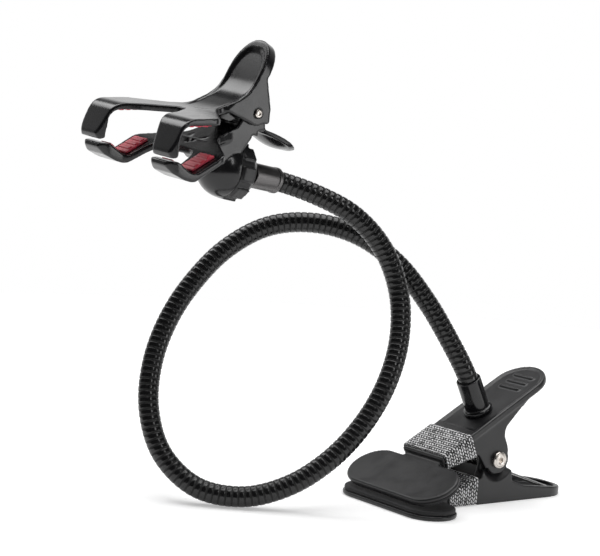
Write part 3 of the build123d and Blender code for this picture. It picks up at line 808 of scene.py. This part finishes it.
def weave_map(piece, stations, girth):
    """UV map counted in stitches along the band and rows across it."""
    stitches = round(girth / STITCH_LENGTH)
    layer = piece.data.uv_layers.new(name="weave")
    for face in piece.data.polygons:
        spots = [divmod(v, BAND_POINTS) for v in face.vertices]
        wraps = max(s[1] for s in spots) - min(s[1] for s in spots) > 1
        for corner, (station, j) in zip(face.loop_indices, spots):
            turn = BAND_POINTS if wraps and j == 0 else j
            row = min(station, stations) * BAND_ROWS / stations
            layer.data[corner].uv = (turn * stitches / BAND_POINTS, row)


def woven_band(node, slope, body):
    """Elastic sleeve round a lever, with a raised cord for each woven row."""
    corners = band_corners(node, slope)
    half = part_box(node)[1].y
    stations = BAND_ROWS * STATIONS_PER_ROW
    rings = []
    for i in range(stations + 1):
        share = i / stations
        sink = CORD_RELIEF * math.cos(math.pi * share * BAND_ROWS) ** 2
        rings.append(band_ring(corners, share, half, sink, BAND_CORNER))
    for share in (1, 0):
        rings.append(band_ring(corners, share, half, BAND_WALL, BAND_CORNER - BAND_WALL))
    faces = []
    for i in range(len(rings)):
        here, following = i * BAND_POINTS, (i + 1) % len(rings) * BAND_POINTS
        for j in range(BAND_POINTS):
            k = (j + 1) % BAND_POINTS
            faces.append((here + j, here + k, following + k, following + j))
    name = node + "_woven"
    piece = link(name, mesh_of(name, [v for ring in rings for v in ring], [], faces))
    facing_out(piece)
    middle = rings[stations // 2]
    girth = sum((a - b).length for a, b in zip(middle, middle[1:] + middle[:1]))
    weave_map(piece, stations, girth)
    smooth_shaded(piece)
    dress(piece, "woven_band")
    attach(piece, body)
    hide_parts(node)


# Scene

def ray_kinds(tree):
    """One for rays straight from the camera, and one for those that a piece reflects or lets through."""
    paths = tree.nodes.new("ShaderNodeLightPath").outputs
    mirrored = math_node(tree, "MAXIMUM", paths["Is Glossy Ray"], paths["Is Transmission Ray"])
    return paths["Is Camera Ray"], mirrored


def stage_floor():
    """Pale floor that keeps the shadow and reads as white behind the object."""
    bpy.ops.mesh.primitive_circle_add(vertices=FLOOR_SIDES, radius=FLOOR_RADIUS, fill_type="NGON")
    floor = bpy.context.object
    floor.name = "floor"
    material, tree, shader = new_material("floor_white")
    shader.inputs["Base Color"].default_value = (FLOOR_GREY, FLOOR_GREY, FLOOR_GREY, 1)
    shader.inputs["Roughness"].default_value = FLOOR_ROUGHNESS
    shader.inputs["Specular IOR Level"].default_value = 0.0
    shader.inputs["Emission Color"].default_value = (1, 1, 1, 1)
    seen = math_node(tree, "MAXIMUM", *ray_kinds(tree))
    lift = math_node(tree, "MULTIPLY", seen, FLOOR_LIFT)
    tree.links.new(lift, shader.inputs["Emission Strength"])
    floor.data.materials.append(material)


def world_light():
    """White background, which lights as a pale sweep behind the object in a dim room."""
    world = bpy.data.worlds.new("studio")
    bpy.context.scene.world = world
    world.use_nodes = True
    tree = world.node_tree
    look = tree.nodes.new("ShaderNodeTexCoord").outputs["Generated"]
    parts = tree.nodes.new("ShaderNodeSeparateXYZ")
    tree.links.new(look, parts.inputs["Vector"])
    ahead = tree.nodes.new("ShaderNodeVectorMath")
    ahead.operation = "DOT_PRODUCT"
    tree.links.new(look, ahead.inputs[0])
    ahead.inputs[1].default_value = (-math.sin(CAMERA_AZIMUTH), math.cos(CAMERA_AZIMUTH), 0)
    behind = ranged(tree, ahead.outputs["Value"], SWEEP_SIDE_FADE, (0, 1), "SMOOTHSTEP")
    low_down = ranged(tree, parts.outputs["Z"], SWEEP_TOP_FADE, (1, 0), "SMOOTHSTEP")
    sweep = math_node(tree, "MULTIPLY", behind, low_down)
    straight, mirrored = ray_kinds(tree)
    shown = math_node(tree, "MAXIMUM", straight, math_node(tree, "MULTIPLY", mirrored, sweep))
    light = math_node(tree, "MAXIMUM", math_node(tree, "MULTIPLY", sweep, SWEEP_LIGHT), ROOM_LIGHT)
    background = tree.nodes["Background"].inputs
    tree.links.new(math_node(tree, "MAXIMUM", light, shown), background["Strength"])
    background["Color"].default_value = (1, 1, 1, 1)


def aimed(direction):
    """Turn that points a lamp along a direction."""
    return Vector(direction).to_track_quat("-Z", "Y").to_matrix().to_4x4()


def overhead():
    """Broad soft light from above, the same all over the floor."""
    lamp = bpy.data.lights.new("overhead", "SUN")
    lamp.energy = OVERHEAD_LIGHT
    lamp.angle = OVERHEAD_SPREAD
    link("overhead", lamp).matrix_world = aimed(OVERHEAD_AIM)


def soft_box(name, place, target, size, power):
    """Soft box that lights the object and stays out of the picture."""
    lamp = bpy.data.lights.new(name, "AREA")
    lamp.shape = "RECTANGLE"
    lamp.size, lamp.size_y = size
    lamp.energy = power
    holder = link(name, lamp)
    holder.visible_camera = False
    holder.matrix_world = Matrix.Translation(place) @ aimed(Vector(target) - Vector(place))


def studio():
    stage_floor()
    world_light()
    overhead()
    for box in SOFT_BOXES:
        soft_box(*box)
    bpy.context.scene.view_settings.view_transform = "Standard"


def photo_camera():
    """Camera at the photograph's viewing angle."""
    across = Vector((math.cos(CAMERA_AZIMUTH), math.sin(CAMERA_AZIMUTH), 0))
    back = Vector((
        math.sin(CAMERA_AZIMUTH) * math.cos(CAMERA_ELEVATION),
        -math.cos(CAMERA_AZIMUTH) * math.cos(CAMERA_ELEVATION),
        math.sin(CAMERA_ELEVATION),
    ))
    up = back.cross(across)
    right = across * math.cos(CAMERA_ROLL) + up * math.sin(CAMERA_ROLL)
    top = -across * math.sin(CAMERA_ROLL) + up * math.cos(CAMERA_ROLL)
    camera = bpy.data.cameras.new("photo_view")
    camera.lens = LENS_MM
    holder = link("photo_view", camera)
    turn = Matrix((right, top, back)).transposed()
    holder.matrix_world = Matrix.Translation(CAMERA_AT) @ turn.to_4x4()
    bpy.context.scene.camera = holder


finishes = {name: moulded(name, **look) for name, look in MOULDED_FINISHES.items()}
finishes.update({name: metal(name, **look) for name, look in METAL_FINISHES.items()})
finishes["neck_black"] = neck_coat()
finishes["woven_band"] = woven_elastic()

ribbed_neck()
woven_band("upper_jaw_band", PLATE_SLOPE, "clip_arm")
woven_band("lower_jaw_band", FOOT_SLOPE, "clip_base")
for part in MOULDED_PARTS:
    softened(*part)
for side in ("near", "far"):
    for pad, body in GRIP_PADS:
        softened(pad + "_" + side, body, "red_rubber", GRIP_PAD_CELL, GRIP_PAD_PASSES)

wire_tree = spring_tree()
wound_spring("clip_spring", "clip_pivot_bolt", "clip_hinge", CLIP_WIRE, wire_tree)
wound_spring("jaw_spring", "jaw_pin", "jaw_hinge", JAW_WIRE, wire_tree)
lathe_part("neck_base_ferrule", "clip_arm", "gloss_black", PLATE_RISE, BASE_FERRULE)
lathe_part("neck_head_ferrule", "neck_tip", "ferrule_grey", axes["head_turn"], HEAD_FERRULE)
lathe_part("ball_stud", "neck_tip", "ball_black", axes["head_turn"], BALL_STUD)
lathe_part("jaw_pin", "phone_lower", "bolt_steel", axes["jaw_hinge"], JAW_PIN)
lathe_part("clip_pivot_bolt", "clip_base", "bolt_steel", axes["clip_hinge"], PIVOT_BOLT, BOLT_SOCKET_RINGS)

photo_camera()
studio()
